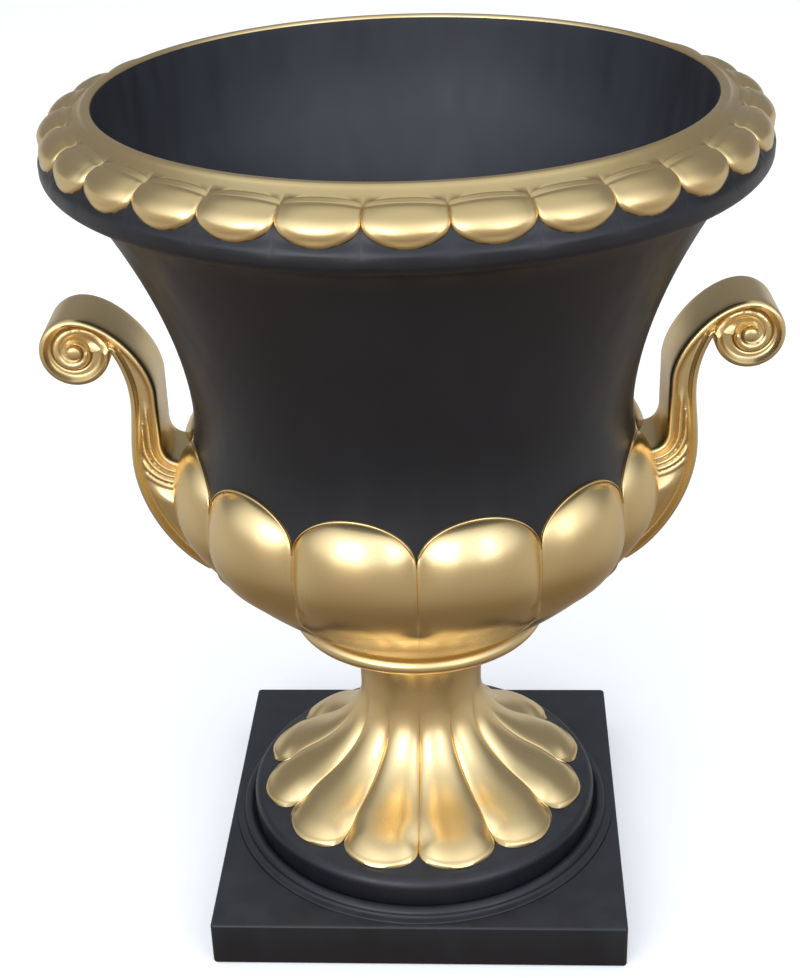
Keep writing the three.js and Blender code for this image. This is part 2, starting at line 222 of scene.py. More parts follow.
class UrnFootSizes(bpy.types.PropertyGroup):
    """Relief of the fluted foot"""

    petal_relief: length_property(
        "Petal relief", 0.0065, 0.002, 0.01, "Depth from a petal's crest to the valley beside it"
    )
    bead: length_property("Bead", 0.0032, 0.001, 0.005, "Width of the raised line around each petal's tip")
    columns: mesh_columns(32, "Mesh columns across one petal")


class UrnHandleSizes(bpy.types.PropertyGroup):
    """Section and carving of the scroll handles"""

    width: length_property("Width", 0.0516, 0.03, 0.052, "Width of a handle from face to face")
    rounding: length_property("Rounding", 0.0034, 0.001, 0.006, "Radius of the handle's long edges")
    channel: length_property(
        "Channel", 0.0034, 0.0005, 0.004, "Depth of the channel between the two border ribs"
    )


class UrnFinish(bpy.types.PropertyGroup):
    """Colours, wear and painted light of the two finishes"""

    gold: colour_property("Gold", (0.85, 0.645, 0.32), "Gilding where it is clean")
    # Gold shade tones random cloudy patches, and darkened further it is the painted shade in the hollows
    gold_shade: colour_property(
        "Gold shade", (0.62, 0.40, 0.15), "Gilding where it is toned down, in hollows and cloudy patches"
    )
    black: colour_property("Black", (0.0035, 0.0035, 0.005), "Satin lacquer")
    # The worn black is lighter lacquer on rubbed edges, and a painted highlight there
    black_worn_and_highlit: colour_property("Black, worn and highlit", (0.035, 0.034, 0.038), "Lacquer rubbed thin on edges")
    # This amount sets how far edges are rubbed and lit by a painted highlight
    wear_and_light: FloatProperty(
        name="Rubbing and highlight", default=0.5, min=0, max=1, subtype="FACTOR", description="How far edges are rubbed"
    )


class UrnStage(bpy.types.PropertyGroup):
    """Floor and light"""

    floor: colour_property("Floor", (0.9, 0.9, 0.9), "Colour of the studio floor")
    light: FloatProperty(
        name="Light", default=1.0, min=0, max=4, description="Strength of all the lamps together"
    )


# Outlines


def mix(a, b, share):
    """Blend from a to b"""
    return a + (b - a) * share


def smooth(x, low, high):
    """0 below low, 1 above high, and an even rise between"""
    share = np.clip((np.asarray(x, float) - low) / (high - low), 0, 1)
    return share * share * (3 - 2 * share)


def bezier(a, b, c, d, steps):
    """Points along a cubic curve, its two ends included"""
    t = np.linspace(0, 1, steps + 1)[:, None]
    a, b, c, d = (np.array(p, float) for p in (a, b, c, d))
    return (1 - t) ** 3 * a + 3 * (1 - t) ** 2 * t * b + 3 * (1 - t) * t**2 * c + t**3 * d


def arc(center, radii, start, end, steps):
    """Points along an arc of an ellipse, with its angles in degrees"""
    angle = np.radians(np.linspace(start, end, steps + 1))
    return np.column_stack([center[0] + radii[0] * np.cos(angle), center[1] + radii[1] * np.sin(angle)])


def round_over(x, power=2):
    """Quarter round from 1 where x is 0 down to 0 where it is 1, and fuller with a higher power"""
    return np.sqrt(np.maximum(0, 1 - x**power))


def bowl_outline():
    """Radius against height of the bowl's wall without its lobes"""
    lower = bezier(
        (LOBE_FOOT_RADIUS, LOBE_FOOT_HEIGHT),
        (mix(LOBE_FOOT_RADIUS, BELLY_RADIUS, 0.4), mix(LOBE_FOOT_HEIGHT, BELLY_HEIGHT, 0.25)),
        (BELLY_RADIUS, mix(LOBE_FOOT_HEIGHT, BELLY_HEIGHT, 0.6)),
        (BELLY_RADIUS, BELLY_HEIGHT),
        120,
    )
    share = np.linspace(0, 1, 81)[1:]
    waist = np.column_stack([
        mix(BELLY_RADIUS, WAIST_RADIUS, (1 - np.cos(math.pi * share)) / 2),
        mix(BELLY_HEIGHT, WAIST_HEIGHT, share),
    ])
    bell = np.column_stack([
        mix(WAIST_RADIUS, THROAT_RADIUS, share**BELL_CURVE),
        mix(WAIST_HEIGHT, THROAT_HEIGHT, share),
    ])
    return np.vstack([lower, waist, bell])


BOWL_OUTLINE = bowl_outline()


def wall_radius(z):
    """Radius of the bowl's wall at a height above its underside"""
    return np.interp(z, BOWL_OUTLINE[:, 1], BOWL_OUTLINE[:, 0])


def distance_to(points, line):
    """Distance from each point to a line of points"""
    start, end = line[:-1], line[1:]
    along = end - start
    length = np.maximum((along**2).sum(1), 1e-12)
    nearest = np.full(len(points), np.inf)
    for begin in range(0, len(points), 4000):
        block = points[begin : begin + 4000, None, :] - start[None]
        share = np.clip((block * along[None]).sum(2) / length, 0, 1)
        gap = block - share[..., None] * along[None]
        nearest[begin : begin + 4000] = np.sqrt((gap**2).sum(2).min(1))
    return nearest


# Turned skins


class Row:
    """One row of points around part of the axis; gilded tells the finish of the strip below it"""

    def __init__(self, angles, radii, heights, gilded):
        self.angles = np.asarray(angles, float)
        self.radii = np.broadcast_to(np.asarray(radii, float), self.angles.shape)
        self.heights = np.broadcast_to(np.asarray(heights, float), self.angles.shape)
        self.gilded = gilded


def plain_rows(outline, angles, gilded):
    """Rows of a plain turned moulding"""
    return [Row(angles, r, z, gilded) for r, z in outline]


def lobe_angles(span, count, columns, crest_first=False):
    """Angles of the columns over a span: one on every cusp and crest, and close together at the cusps"""
    pitch = 2 * math.pi / count
    phase = np.linspace(-math.pi / 2, math.pi / 2, columns + 1)[:-1]
    unit = (1 + np.sin(phase)) / 2
    lobes = round(span / pitch)
    shift = 0.5 if crest_first else 0
    angles = np.concatenate([(k + unit - shift) * pitch for k in range(lobes + 1)])
    inside = angles[(angles > 1e-6) & (angles < span - 1e-6)]
    return np.concatenate([[0], inside, [span]])


def across(angles, count, crest_first=False):
    """Where each angle falls across its lobe: -1 and 1 at the cusps, 0 on the crest"""
    share = angles * count / (2 * math.pi) + (0.5 if crest_first else 0)
    place = share - np.floor(share + 1e-9)
    return np.clip(2 * place - 1, -1, 1)


def skin(rows):
    """Stitches rows, from the bottom of the axis up the outside, into points and faces"""
    points, faces, gilded, starts = [], [], [], []
    for row in rows:
        starts.append(sum(len(p) for p in points))
        points.append(np.column_stack([
            row.radii * np.sin(row.angles),
            -row.radii * np.cos(row.angles),
            row.heights,
        ]))
    for k in range(1, len(rows)):
        low, high = rows[k - 1], rows[k]
        even = len(low.angles) == len(high.angles)
        i = j = 0
        while i < len(low.angles) - 1 or j < len(high.angles) - 1:
            a, b = starts[k - 1] + i, starts[k] + j
            if even:
                faces.append((a, a + 1, b + 1, b))
                i, j = i + 1, j + 1
            elif j == len(high.angles) - 1 or (
                i < len(low.angles) - 1
                and low.angles[i] + low.angles[i + 1] <= high.angles[j] + high.angles[j + 1]
            ):
                faces.append((a, a + 1, b))
                i += 1
            else:
                faces.append((a, b + 1, b))
                j += 1
            gilded.append(high.gilded)
    return np.vstack(points), faces, gilded


def bead_profile(distance, width):
    """Half-round bead that runs along an edge"""
    return width / 2 * round_over(2 * np.clip(distance / width, 0, 1) - 1)


# Bowl


def lobe_rows(angles, relief, bead):
    """Rows of the large lobes: a plain dish that breaks into pillows, up to their beaded, scalloped tops"""
    t = across(angles, LOBES)
    scallop = round_over(t)
    end = mix(LOBE_CUSP_HEIGHT, LOBE_TOP_HEIGHT, scallop)
    bottom = mix(LOBE_BOTTOM_HEIGHT + LOBE_CREASE_RISE, LOBE_BOTTOM_HEIGHT, scallop)
    crown = np.maximum(0, 1 - t**2) ** LOBE_CROWN_POWER
    to_crease = (1 - np.abs(t)) * BELLY_RADIUS * math.pi / LOBES
    fillet = 0.3 * bead * round_over(2 * to_crease / bead)
    rows = []
    # Rows lie closer together toward the tops, where the lobes turn in
    for share in 1 - (1 - np.linspace(0, 1, LOBE_ROWS)) ** 1.8:
        z = mix(LOBE_FOOT_HEIGHT, end, share)
        revealed = smooth(z, bottom - LOBE_FADE_BELOW, bottom + LOBE_FADE_ABOVE)
        swell = share**1.2 * round_over(share, 4)
        form = mix(LOBE_MEAN_CROWN, crown, revealed)
        r = wall_radius(z) + relief * swell * form + fillet * revealed
        rows.append(Row(angles, r, z, True))
    for angle in np.radians((-20, 10, 40, 70, 100, 130, 160)):
        r = wall_radius(end) + bead * 0.35 * (1 + np.cos(angle)) - 0.2
        rows.append(Row(angles, r, end + bead * 0.3 * (0.3 + np.sin(angle)), True))
    rows.append(Row(angles, wall_radius(end) - 0.2, end + bead * 0.3, True))
    return rows


def rim_bed(share):
    """Line that carries the rim lobes: a quarter round from 0 to 1, then the slope of the band up to 2"""
    turned = math.pi / 2 * np.clip(share, 0, 1)
    up = np.clip(share - 1, 0, 1)
    outwards = np.maximum(0, np.cos(turned)) ** 0.8
    sunk = RIM_BED * smooth(share, 0, 0.25) * (1 - smooth(share, 0.75, 1.05))
    r = mix(BAND_RADIUS, RIM_RADIUS, outwards) - sunk
    z = mix(RIM_WIDEST_HEIGHT, BAND_HEIGHT, np.sin(turned))
    return (
        r + (BAND_TOP_RADIUS - BAND_RADIUS) * up,
        z + (BOWL_TOP - BOWL_BOTTOM - MOUTH_EDGE - BAND_HEIGHT) * up,
    )


def rim_rows(angles, relief, bead):
    """Rows of the rim lobes, from the black quarter round up to their round tops on the band"""
    t = across(angles, RIM_LOBES, crest_first=True)
    half_width = RIM_RADIUS * math.pi / RIM_LOBES
    round_end = round_over(t)
    bottom = mix(RIM_LOBE_CUSP_HEIGHT, RIM_LOBE_BOTTOM_HEIGHT, round_end)
    start = np.arcsin((bottom - RIM_WIDEST_HEIGHT) / (BAND_HEIGHT - RIM_WIDEST_HEIGHT)) / (math.pi / 2)
    stop = 1 + mix(RIM_LOBE_TOP_CUSP_SHARE, RIM_LOBE_TOP_SHARE, round_end)
    # One lobe's border laid flat: its sides, and its round lower end
    depth = 1.35 * (RIM_LOBE_CUSP_HEIGHT - RIM_LOBE_BOTTOM_HEIGHT)
    climb_length = 30
    side = np.linspace(0, climb_length, 30)
    border = np.vstack([
        np.column_stack([np.full(len(side), -half_width), side[::-1]]),
        arc((0, 0), (half_width, depth), 180, 360, 60),
        np.column_stack([np.full(len(side), half_width), side]),
    ])
    crown = np.maximum(0, 1 - np.abs(t) ** 2.2) ** 0.75
    rows = []
    for share in np.linspace(0, 1, 5) ** 0.8:
        r, z = rim_bed(start * share)
        rows.append(Row(angles, r, z, False))
    ends_and_middle = (np.linspace(0, 0.2, 10), np.linspace(0.24, 0.8, 14), np.linspace(0.83, 1, 7))
    for share in np.concatenate(ends_and_middle):
        place = mix(start, stop, share)
        r, z = rim_bed(place)
        climb = (place - start) * climb_length
        flat = np.column_stack([t * half_width, climb - depth * round_end])
        gap = distance_to(flat, border)
        hang = (1 - (1 - np.minimum(1, share / 0.24)) ** 2.4) * (1 - 0.5 * smooth(share, 0.2, 0.9))
        pillow = hang * round_over(share, 6)
        line = bead_profile(gap, bead) * 0.3 * (1 - smooth(share, 0.55, 0.9))
        lift = relief * (0.15 + 0.95 * crown) * pillow + line
        lean = math.pi / 2 * np.clip(place, 0, 1)
        lean = np.where(place > 1, mix(lean, 1.0, smooth(place, 1, 1.3)), lean)
        rows.append(Row(angles, r + lift * np.cos(lean), z + lift * np.sin(lean) * 0.85, True))
    return rows


def bowl_rows(sizes):
    """All rows of one sixth of the bowl, from the middle of its underside round to its floor"""
    span = 2 * math.pi / BOWL_SECTORS
    relief, bead = sizes.lobe_relief / MM, sizes.bead / MM
    lobes = lobe_angles(span, LOBES, sizes.columns)
    rim = lobe_angles(span, RIM_LOBES, RIM_COLUMNS, crest_first=True)
    plain = np.linspace(0, span, 33)
    coarse = np.linspace(0, span, 21)

    lip = np.vstack([
        [(60, 0), (LIP_RADIUS - 6, 0)],
        arc((LIP_RADIUS - 6, LIP_HEIGHT / 2), (6, LIP_HEIGHT / 2), -80, 76, 14),
        arc((LIP_RADIUS - 1, LIP_HEIGHT + 2.6), (4.2, 2.4), 240, 150, 6),
    ])
    rows = [Row([0], 0, 0, True)]
    rows += plain_rows(lip, plain, True)
    rows += lobe_rows(lobes, relief, bead)

    end = rows[-1].heights
    for share in (0.12, 0.3, 0.6, 1):
        z = mix(end, LOBE_TOP_HEIGHT + BLACK_ABOVE_LOBES, share)
        rows.append(Row(lobes, wall_radius(z), z, False))
    bell = np.linspace(0, 1, 19)[1:] ** 0.9
    heights = mix(LOBE_TOP_HEIGHT + BLACK_ABOVE_LOBES, THROAT_HEIGHT, bell)
    rows += plain_rows(np.column_stack([wall_radius(heights), heights]), plain, False)

    under = np.vstack([
        bezier((THROAT_RADIUS, THROAT_HEIGHT), (207, 335), (213, 343), (219.5, 346), 8)[1:],
        [(220.5, 346.2), (221, 347.5)],
        arc((222.5, 357), (12.5, 9.6), -88, -8, 12),
    ])
    rows += plain_rows(under, plain, False)
    rows += rim_rows(rim, sizes.rim_relief / MM, bead * 0.9)

    depth = BOWL_TOP - BOWL_BOTTOM
    mouth = np.vstack([
        [rim_bed(1.7), rim_bed(1.85)],
        arc((BAND_TOP_RADIUS - 3.2, depth - 4.4), (4.2, 4.4), 32, 90, 5),
        arc((MOUTH_RADIUS + MOUTH_EDGE, depth - MOUTH_EDGE), (MOUTH_EDGE, MOUTH_EDGE), 90, 180, 5),
    ])
    rows += plain_rows(mouth, coarse, True)

    heights = np.concatenate([
        np.linspace(THROAT_HEIGHT - 4, WAIST_HEIGHT, 14),
        np.linspace(WAIST_HEIGHT, FLOOR + 12, 16)[1:],
    ])
    slope = (wall_radius(heights + 1) - wall_radius(heights - 1)) / 2
    lean = np.sqrt(1 + slope**2)
    inside = np.column_stack([wall_radius(heights) - WALL / lean, heights + WALL * slope / lean])
    floor = inside[-1]
    basin = np.vstack([
        [(MOUTH_RADIUS, depth - 8), (MOUTH_RADIUS - 2, depth - 30)],
        inside,
        bezier(floor, floor + (-6, -4), (72, FLOOR), (60, FLOOR), 6)[1:],
        [(30, FLOOR)],
    ])
    rows += plain_rows(basin, coarse, False)
    rows.append(Row([0], 0, FLOOR, False))
    return rows


# Pedestal


def square_row(angles, half, rounding, z, gilded=False):
    """Row on a square with rounded corners, for a quarter turn that runs from the front to the side"""
    turn = np.minimum(angles, math.pi / 2 - angles)
    radii = half / np.cos(turn)
    corner = half - rounding
    ray = np.column_stack([np.cos(turn), np.sin(turn)])
    middle = ray @ np.array([corner, corner])
    on_round = middle + np.sqrt(np.maximum(0, middle**2 - 2 * corner**2 + rounding**2))
    radii = np.where(half * np.tan(turn) > corner, on_round, radii)
    return Row(angles, radii, z, gilded)


def dome_height(r):
    """Height of the round base under the petals, above the plinth"""
    return DOME_EDGE_RISE + DOME_ROUNDING + DOME_SLOPE * (DOME_RADIUS - DOME_ROUNDING - r)


def petal_rows(angles, relief, bead):
    """Rows of the fluted foot from the petals' edges up to the neck"""
    t = across(angles, PETALS)
    tip, cusp = PETAL_TIP_RADIUS, PETAL_CUSP_RADIUS
    edge_radius = mix(cusp, tip, round_over(t))
    reach = (edge_radius - NECK_RADIUS) / (tip - NECK_RADIUS)
    flare = bezier(
        (NECK_RADIUS, FLARE_HEIGHT),
        (NECK_RADIUS, FLARE_SPREAD_HEIGHT),
        (tip - PETAL_FLAT, dome_height(tip - PETAL_FLAT) + PETAL_THICKNESS),
        (tip, dome_height(tip) + PETAL_THICKNESS),
        400,
    )
    half_angle = math.pi / PETALS
    rim = arc((0, cusp), (half_angle, tip - cusp), 180, 0, 80)
    border = np.column_stack([rim[:, 1] * np.sin(rim[:, 0]), rim[:, 1] * np.cos(rim[:, 0])])
    crown = np.maximum(0, 1 - np.abs(t) ** 2.3) ** 0.75
    rows = [Row(angles, edge_radius - 1.2, dome_height(edge_radius - 1.2) - 0.4, False)]
    for lift, out in ((0.0, -0.5), (0.35, 0.1), (0.7, 0.15)):
        rows.append(Row(angles, edge_radius + out, dome_height(edge_radius) + lift, True))
    near = 1 - np.linspace(0, 0.07, 10)
    far = 0.93 * (1 - np.linspace(0, 1, 40)[1:] ** 1.15)
    for share in np.concatenate([near, far]):
        shortened = mix(1, reach, np.maximum(0, 2 * share - 1))
        place = np.minimum(1, share * shortened) * (len(flare) - 1)
        r = np.interp(place, np.arange(len(flare)), flare[:, 0])
        z = np.interp(place, np.arange(len(flare)), flare[:, 1])
        rise = math.sin(math.pi / 2 * min(1, share * 3.2))
        swell = relief * rise * (crown - PETAL_VALLEY_SHARE)
        flat = np.column_stack([r * np.sin(t * half_angle), r * np.cos(t * half_angle)])
        gap = distance_to(flat, border)
        near_tip = smooth(share, 0.55, 0.8)
        fall = PETAL_ROLL * (1 - np.clip(gap / PETAL_ROLL_WIDTH, 0, 1)) ** 2.2
        roll = (fall - PETAL_PLUMPNESS * smooth(gap, 0, 12)) * near_tip
        line = PETAL_EDGE_LINE * bead * np.sin(math.pi * np.clip(gap / bead, 0, 1)) ** 2 * near_tip
        rows.append(Row(angles, r + swell * 0.5, z + swell * 0.6 - roll + line, True))
    return rows


def pedestal_rows(sizes):
    """All rows of one quarter of the pedestal, from the middle of its underside to the top of its neck"""
    span = 2 * math.pi / PEDESTAL_SECTORS
    petals = lobe_angles(span, PETALS, sizes.columns)
    plain = np.linspace(0, span, 61)
    half = PLINTH_SIDE / 2
    corner = math.atan2(half, half - 3)
    turn = corner - span / 2
    near_corner = span / 2 + np.linspace(-turn, turn, 9)
    side = np.linspace(0, span / 2 - turn, 9)[:-1]
    square = np.concatenate([side, near_corner, span - side[::-1]])

    rows = [Row([0], 0, 0, False), Row(square, half * 0.5, 0, False)]
    rows.append(square_row(square, half - PLINTH_EDGE, 1.5, 0))
    for angle in np.radians((30, 60, 90)):
        inset = PLINTH_EDGE * (1 - math.sin(angle))
        rows.append(square_row(square, half - inset, 3 - inset / 2, PLINTH_EDGE * (1 - math.cos(angle))))
    rows.append(square_row(square, half, 3, PLINTH_HEIGHT - PLINTH_EDGE))
    for angle in np.radians((22.5, 45, 67.5, 90)):
        inset = PLINTH_EDGE * (1 - math.cos(angle))
        z = PLINTH_HEIGHT - PLINTH_EDGE * (1 - math.sin(angle))
        rows.append(square_row(square, half - inset, 3 - inset / 2, z))

    base = np.vstack([
        [(FILLET_RADIUS - 0.6, 0), (FILLET_RADIUS - 0.9, 0.9)],
        arc((FILLET_RADIUS - 1.9, FILLET_RISE - 0.4), (1, 0.8), 10, 90, 4),
        bezier((144, 1.9), (143.2, 1.9), (142.6, 2.2), (142, 3), 4),
        arc((RING_RADIUS - RING_RADII[0], RING_RISE - RING_RADII[1]), RING_RADII, 8, 150, 14),
        bezier(
            (GROOVE_RADIUS - 0.4, 4.6),
            (GROOVE_RADIUS - 1, 4.4),
            (DOME_RADIUS + 0.6, 4.6),
            (DOME_RADIUS + 0.3, 6),
            4,
        ),
        [(DOME_RADIUS, 9), (DOME_RADIUS, 13)],
        arc((DOME_RADIUS - DOME_ROUNDING, DOME_EDGE_RISE - 1), (DOME_ROUNDING, DOME_ROUNDING + 1), 2, 76, 12),
    ])
    base[:, 1] += PLINTH_HEIGHT
    rows += plain_rows(base, plain, False)
    for row in petal_rows(petals, sizes.petal_relief / MM, sizes.bead / MM):
        row.heights = row.heights + PLINTH_HEIGHT
        rows.append(row)

    share = np.linspace(0, 1, 15)[1:]
    neck_bottom = PLINTH_HEIGHT + FLARE_HEIGHT
    neck = np.column_stack([
        mix(NECK_RADIUS, NECK_TOP_RADIUS, share**NECK_CURVE),
        mix(neck_bottom, PEDESTAL_TOP, share),
    ])
    rows += plain_rows(neck, np.linspace(0, span, 25), True)
    rows.append(Row([0], 0, PEDESTAL_TOP, True))
    return rows


# Handles


def spiral_radius(turned):
    """Radius of the groove that winds into the scroll, against the angle turned from the notch"""
    winding = GROOVE_SPAN * np.maximum(0, 1 - turned / GROOVE_TURN)
    return EYE_RADIUS + winding + GROOVE_ENTRY * np.exp(-turned / GROOVE_ENTRY_TURN)


def resample(line, spacing):
    """The same line with points at an even spacing, its ends kept"""
    steps = np.sqrt((np.diff(line, axis=0) ** 2).sum(1))
    run = np.concatenate([[0], np.cumsum(steps)])
    count = max(2, int(round(run[-1] / spacing)) + 1)
    place = np.linspace(0, run[-1], count)
    return np.column_stack([np.interp(place, run, line[:, 0]), np.interp(place, run, line[:, 1])])


def handle_lines():
    """The handle's free border in three runs: outer edge, scroll and crook, and the saddle at the bowl"""
    notch = (SCROLL_OUT - SCROLL_RADIUS, SCROLL_HEIGHT)
    tail = (TAIL_OUT, TAIL_HEIGHT)
    belly = np.array([HANDLE_BELLY_OUT, HANDLE_BELLY_HEIGHT])
    bend = np.array([0, HANDLE_BELLY_BEND])
    outer = np.vstack([
        bezier(tail, (TAIL_OUT + TAIL_RUN, TAIL_HEIGHT + TAIL_RISE), belly - bend, belly, 60),
        bezier(belly, belly + bend, (STEM_OUT, STEM_HEIGHT), notch, 60)[1:],
    ])
    stem = (STEM_OUT - STEM_THICKNESS, STEM_HEIGHT)
    crook = (stem[0], STEM_HEIGHT + CROOK_BEND)
    top = SCROLL_HEIGHT + SCROLL_RADIUS
    scroll = np.vstack([
        arc((SCROLL_OUT, SCROLL_HEIGHT), (SCROLL_RADIUS, SCROLL_RADIUS), 180, 450, 120),
        bezier((SCROLL_OUT, top), (SCROLL_OUT - SCROLL_RADIUS, top), crook, stem, 60)[1:],
    ])
    corner = np.array([stem[0], WEB_HEIGHT])
    above, beside = corner + (0, WEB_ROUNDING), corner - (WEB_ROUNDING, 0)
    saddle = np.vstack([
        stem,
        bezier(above, mix(above, corner, 2 / 3), mix(beside, corner, 2 / 3), beside, 20),
        (wall_radius(WEB_HEIGHT) - BOND_DEPTH, WEB_HEIGHT),
    ])
    return tuple(resample(line, GRID_STEP) for line in (outer, scroll, saddle))


def bond_line():
    """The handle's hidden border, a little inside the bowl's wall, from the saddle down to the tail"""
    heights = np.linspace(WEB_HEIGHT, TAIL_HEIGHT, 60)[1:]
    line = np.column_stack([wall_radius(heights) - BOND_DEPTH, heights])
    return resample(np.vstack([line, [(TAIL_OUT - 8, TAIL_HEIGHT)]]), 2)


def groove_line():
    """The groove between the turns of the scroll"""
    turned = np.linspace(0.02, GROOVE_TURN, 260)
    angle = math.pi - turned
    radius = spiral_radius(turned)
    return resample(
        np.column_stack([SCROLL_OUT + radius * np.cos(angle), SCROLL_HEIGHT + radius * np.sin(angle)]), 0.8
    )


def offset_points(line, distance):
    """Points set off to the left of a line, and to the right where the distance is negative"""
    along = np.gradient(line, axis=0)
    along /= np.maximum(np.sqrt((along**2).sum(1)), 1e-9)[:, None]
    return line + distance * np.column_stack([-along[:, 1], along[:, 0]])


def carve_scroll(points, to_groove, height):
    """Sinks the coiled turns and the round eye into the face inside the scroll"""
    offset = points - np.array([SCROLL_OUT, SCROLL_HEIGHT])
    radius = np.sqrt((offset**2).sum(1))
    turned = np.mod(math.pi - np.arctan2(offset[:, 1], offset[:, 0]), 2 * math.pi)
    first, second = spiral_radius(turned), spiral_radius(turned + 2 * math.pi)
    in_disc = radius < SCROLL_RADIUS
    coil = in_disc & (radius < first)

    # Each inner turn rises out of the recess below the band above it
    recess = RECESS_DEPTH * turned / RECESS_TURN * np.exp(1 - turned / RECESS_TURN)
    depth = np.where(radius < second, second - radius, first - radius)
    rib = -COIL_DEPTH * (1 - smooth(depth, 0, 2.0)) - COIL_CHANNEL * smooth(depth, 4.2, 7.4)
    turn_height = rib - np.where(radius < second, 0.4, recess)
    boss = EYE_RISE * round_over(radius / EYE_RADIUS)
    eye = boss - EYE_GROOVE * smooth(radius, EYE_RADIUS - 0.6, EYE_RADIUS)
    turn_height = mix(eye, turn_height, smooth(radius, EYE_RADIUS + 0.2, EYE_RADIUS + 2.2))
    cut = GROOVE_CUT * np.exp(-((to_groove / 0.8) ** 2)) * in_disc
    return np.where(coil, turn_height, height - cut)


def carve_handle(points, lines, sizes):
    """Height of the carved face over each point, from the handle's middle plane"""
    rounding, channel = sizes.rounding / MM, sizes.channel / MM
    to_outer, to_scroll, to_saddle = (distance_to(points, line) for line in lines)
    to_edge = np.minimum(np.minimum(to_outer, to_scroll), to_saddle)
    height = -channel * smooth(to_edge, rounding * 0.9, rounding + 3.2)

    # The body under the saddle: nested ridges that fade out, then a swelling leaf
    in_body = 1 - smooth(points[:, 1], WEB_HEIGHT + 12, WEB_HEIGHT + 34)
    ridges = np.zeros(len(points))
    for place, size in RIDGES:
        ridges = np.maximum(ridges, size * np.clip(1 - ((to_saddle - place) / RIDGE_HALF_WIDTH) ** 2, 0, 1))
    fading = 1 - smooth(points[:, 1], WEB_HEIGHT + 30, WEB_HEIGHT + 48)
    height += ridges * smooth(to_outer, 6.2, 8.5) * fading
    height += in_body * LEAF_SWELL * np.sqrt(smooth(to_outer, 6.5, 22)) * smooth(to_saddle, 20, 33)
    height = carve_scroll(points, distance_to(points, groove_line()), height)

    edge = np.clip(to_edge, 0, rounding)
    fall = rounding - np.sqrt(np.maximum(0, rounding**2 - (rounding - edge) ** 2))
    return sizes.width / MM / 2 + height - fall


def handle_points(sizes):
    """The points of one face: its border, the points inside it, and the border's three free runs"""
    lines = handle_lines()
    outer, scroll, saddle = lines
    bond = bond_line()
    loop = np.vstack([outer[:-1], scroll[:-1], saddle[:-1], bond[:-1]])
    free = np.vstack([outer, scroll[1:], saddle[1:]])
    rounding = sizes.rounding / MM
    # Rows of points follow the rounded edge, the channel, the groove and the eye, and a grid fills the rest
    extra = [offset_points(free, rounding * (1 - math.cos(math.radians(a)))) for a in (20, 38, 55, 72, 90)]
    extra += [offset_points(resample(free, 1.3), rounding + d) for d in (1.2, 2.3, 3.4)]
    groove = groove_line()
    extra += [offset_points(groove, d) for d in (-1.6, -0.8, -0.3, 0.3, 0.8, 1.5, 2.3)]
    for r in (1.6, 3.0, 4.0, 4.4, 4.7, 5.0, 5.4, 6.0, 6.8):
        extra.append(arc((SCROLL_OUT, SCROLL_HEIGHT), (r, r), 0, 360, 48)[:-1])
    low, high = loop.min(0), loop.max(0)
    across_grid = np.arange(low[0], high[0], GRID_STEP)
    up_grid = np.arange(low[1], high[1], GRID_STEP * 0.866)
    grid_x, grid_z = np.meshgrid(across_grid, up_grid)
    grid_x[1::2] += GRID_STEP / 2
    grid = np.column_stack([grid_x.ravel(), grid_z.ravel()])
    from_eye = np.hypot(grid[:, 0] - SCROLL_OUT, grid[:, 1] - SCROLL_HEIGHT)
    clear_of_edge = distance_to(grid, free) > rounding + 4.0
    grid = grid[clear_of_edge & (distance_to(grid, groove) > 2.6) & (from_eye > 7.4)]
    inner = np.vstack([*extra, grid])
    inner = inner[distance_to(inner, np.vstack([loop, loop[:1]])) > 0.12]
    inner = inner[inside_loop(inner, loop)]
    return loop, inner, lines


def inside_loop(points, loop):
    """Which points lie inside a closed loop"""
    after = np.roll(loop, -1, axis=0)
    x, z = points[:, 0][:, None], points[:, 1][:, None]
    crosses = (loop[None, :, 1] > z) != (after[None, :, 1] > z)
    run = after[:, 1] - loop[:, 1]
    run = np.where(np.abs(run) < 1e-12, 1e-12, run)
    at = loop[None, :, 0] + (z - loop[None, :, 1]) / run[None] * (after[:, 0] - loop[:, 0])[None]
    return ((crosses & (x < at)).sum(1) % 2) == 1


def handle_mesh_data(sizes):
    """Points and faces of one handle that stands out along +X"""
    loop, inner, lines = handle_points(sizes)
    flat = np.vstack([loop, inner])
    count = len(loop)
    found = delaunay_2d_cdt([Vector(p) for p in flat], [], [list(range(count))], 1, 1e-5)
    flat = np.array([tuple(p) for p in found[0]])
    order = {origin: index for index, origins in enumerate(found[3]) for origin in origins}
    border = [order[k] for k in range(count)]
    height = carve_handle(flat, lines, sizes)

    front = np.column_stack([flat[:, 0], -height, flat[:, 1]])
    back = np.column_stack([flat[:, 0], height, flat[:, 1]])
    size = len(flat)
    faces = []
    for a, b, c in found[2]:
        pa, pb, pc = flat[a], flat[b], flat[c]
        turn = (pb[0] - pa[0]) * (pc[1] - pa[1]) - (pb[1] - pa[1]) * (pc[0] - pa[0])
        a, b, c = (a, b, c) if turn > 0 else (a, c, b)
        faces.append((a, b, c))
        faces.append((size + a, size + c, size + b))
    points = [front, back]
    previous = border
    for k in range(1, BAND_ROWS):
        points.append(mix(front[border], back[border], k / BAND_ROWS))
        start = 2 * size + (k - 1) * count
        current = list(range(start, start + count))
        faces += band_faces(previous, current)
        previous = current
    faces += band_faces(previous, [size + k for k in border])
    return np.vstack(points), faces


def band_faces(first, second):
    """Faces between two closed rows of points of the same count"""
    count = len(first)
    return [(first[k], second[k], second[(k + 1) % count], first[(k + 1) % count]) for k in range(count)]


# Nodes


def set_inputs(tree, node, inputs):
    """Sets a node's inputs, or links those whose value is an output of another node"""
    for key, value in inputs.items():
        if isinstance(value, bpy.types.NodeSocket):
            tree.links.new(value, node.inputs[key])
        else:
            node.inputs[key].default_value = value


